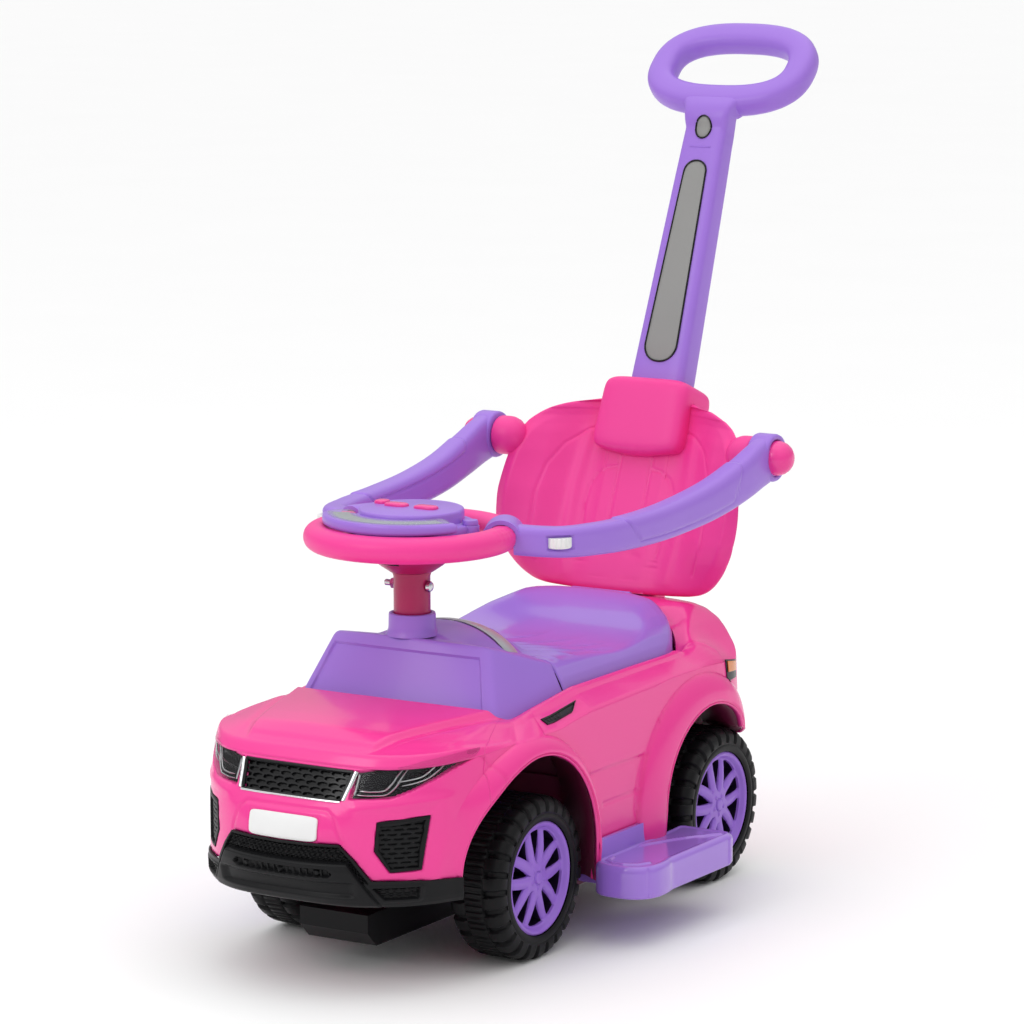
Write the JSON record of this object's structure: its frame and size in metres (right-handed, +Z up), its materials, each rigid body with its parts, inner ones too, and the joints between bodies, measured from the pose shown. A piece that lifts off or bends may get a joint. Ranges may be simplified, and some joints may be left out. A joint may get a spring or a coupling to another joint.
{
  "type": "push car with handle",
  "caption": "Ride-on push car with a tall looped parent handle, bucket backrest, lift-up guard arms, steered front wheels, foot trays and storage under a hinged seat.",
  "frame": {"origin": "on the floor under the middle of the bounding box", "axes": "+Z up, -Y towards the car's nose, +X towards the car's left side"},
  "size_m": [0.432, 0.8891, 0.838],
  "materials": {
    "pink": "glossy hot pink",
    "purple": "satin lilac purple",
    "black": "satin black",
    "tread": "hard black plastic tyre",
    "silver": "silver paint",
    "steel": "plated steel",
    "lens": "clear plastic",
    "screen": "clear window",
    "plate": "plain white",
    "label": "plain grey",
    "amber": "amber and black"
  },
  "bodies": {
    "car": {"body_shell": "pink", "backrest": "pink", "backrest_spine": "pink", "headrest": "pink", "cowl": "purple", "floor_pan": "purple", "storage_tub": "purple", "push_handle": "purple", "foot_tray_left": "purple", "foot_tray_right": "purple", "front_bumper": "black", "upper_grille": "black", "fog_vent_left": "black", "fog_vent_right": "black", "side_vents": "black", "front_axle_block": "black", "headlight_left": "black", "headlight_right": "black", "axle_spacers": "black", "silver_band": "silver", "kingpins": "steel", "rear_axle": "steel", "seat_hinge_pin": "steel", "arm_pivots": "steel", "backrest_screws": "steel", "headlight_lens_left": "lens", "headlight_lens_right": "lens", "number_plate": "plate", "handle_label": "label", "tail_lights": "amber"},
    "seat": {"seat_lid": "purple"},
    "knuckle_left": {"knuckle_left": "black"},
    "knuckle_right": {"knuckle_right": "black"},
    "tie": {"tie_rod": "steel"},
    "steering": {"steering_rod": "steel", "steering_column": "pink", "column_bolt": "steel", "steering_wheel": "pink", "console": "purple", "console_screen": "screen", "console_cap": "purple"},
    "button_left": {"console_button_left": "pink"},
    "button_middle": {"console_button_middle": "pink"},
    "button_right": {"console_button_right": "pink"},
    "wheel_front_left": {"tyre_front_left": "tread", "rim_front_left": "purple"},
    "wheel_front_right": {"tyre_front_right": "tread", "rim_front_right": "purple"},
    "wheel_rear_left": {"tyre_rear_left": "tread", "rim_rear_left": "purple"},
    "wheel_rear_right": {"tyre_rear_right": "tread", "rim_rear_right": "purple"},
    "arm_left": {"guard_arm_left": "purple"},
    "arm_button_left": {"arm_button_left": "pink"},
    "thumbwheel_left": {"thumbwheel_left": "plate"},
    "arm_right": {"guard_arm_right": "purple"},
    "arm_button_right": {"arm_button_right": "pink"},
    "thumbwheel_right": {"thumbwheel_right": "plate"}
  },
  "joints": [
    {"name": "wheel_front_left_spin", "type": "hinge", "parent": "knuckle_left", "child": "wheel_front_left", "pos_m": [0.117, -0.2265, 0.078], "axis": [1, 0, 0], "continuous": true},
    {"name": "wheel_front_right_spin", "type": "hinge", "parent": "knuckle_right", "child": "wheel_front_right", "pos_m": [-0.117, -0.2265, 0.078], "axis": [1, 0, 0], "continuous": true},
    {"name": "wheel_rear_left_spin", "type": "hinge", "parent": "car", "child": "wheel_rear_left", "pos_m": [0.117, 0.12, 0.078], "axis": [1, 0, 0], "continuous": true},
    {"name": "wheel_rear_right_spin", "type": "hinge", "parent": "car", "child": "wheel_rear_right", "pos_m": [-0.117, 0.12, 0.078], "axis": [1, 0, 0], "continuous": true},
    {"name": "steering_turn", "type": "hinge", "parent": "car", "child": "steering", "pos_m": [0, -0.2225, 0.3905], "axis": [0, 0, 1], "range_deg": [-25, 25]},
    {"name": "knuckle_left_turn", "type": "hinge", "parent": "car", "child": "knuckle_left", "pos_m": [0.072, -0.2265, 0.078], "axis": [0, 0, 1], "range_deg": [-20.5, 20.5]},
    {"name": "knuckle_right_turn", "type": "hinge", "parent": "car", "child": "knuckle_right", "pos_m": [-0.072, -0.2265, 0.078], "axis": [0, 0, 1], "range_deg": [-20.5, 20.5]},
    {"name": "tie_rod_slide", "type": "slide", "parent": "car", "child": "tie", "axis": [1, 0, 0], "range_m": [-0.0071, 0.0071]},
    {"name": "arm_left_lift", "type": "hinge", "parent": "car", "child": "arm_left", "pos_m": [0.1627, 0.1755, 0.4246], "axis": [-1, 0, 0], "range_deg": [0, 85]},
    {"name": "arm_button_left_press", "type": "slide", "parent": "arm_left", "child": "arm_button_left", "axis": [-1, 0, 0], "range_m": [0, 0.004], "stiffness_N_per_m": 400},
    {"name": "thumbwheel_left_spin", "type": "hinge", "parent": "arm_left", "child": "thumbwheel_left", "pos_m": [0.12966, -0.16879, 0.387], "axis": [0, 0, 1], "continuous": true},
    {"name": "arm_right_lift", "type": "hinge", "parent": "car", "child": "arm_right", "pos_m": [-0.1627, 0.1755, 0.4246], "axis": [-1, 0, 0], "range_deg": [0, 85]},
    {"name": "arm_button_right_press", "type": "slide", "parent": "arm_right", "child": "arm_button_right", "axis": [1, 0, 0], "range_m": [0, 0.004], "stiffness_N_per_m": 400},
    {"name": "thumbwheel_right_spin", "type": "hinge", "parent": "arm_right", "child": "thumbwheel_right", "pos_m": [-0.12966, -0.16879, 0.387], "axis": [0, 0, 1], "continuous": true},
    {"name": "seat_lift", "type": "hinge", "parent": "car", "child": "seat", "pos_m": [0, 0.1265, 0.279], "axis": [-1, 0, 0], "range_deg": [0, 70]},
    {"name": "button_left_press", "type": "slide", "parent": "steering", "child": "button_left", "axis": [0, 0, -1], "range_m": [0, 0.002], "stiffness_N_per_m": 300},
    {"name": "button_middle_press", "type": "slide", "parent": "steering", "child": "button_middle", "axis": [0, 0, -1], "range_m": [0, 0.002], "stiffness_N_per_m": 300},
    {"name": "button_right_press", "type": "slide", "parent": "steering", "child": "button_right", "axis": [0, 0, -1], "range_m": [0, 0.002], "stiffness_N_per_m": 300}
  ],
  "couplings": [
    {"joint": "knuckle_left_turn", "follows": "steering_turn", "ratio": 0.8},
    {"joint": "knuckle_right_turn", "follows": "steering_turn", "ratio": 0.8},
    {"joint": "tie_rod_slide", "follows": "steering_turn", "m_per_rad": -0.0155}
  ]
}
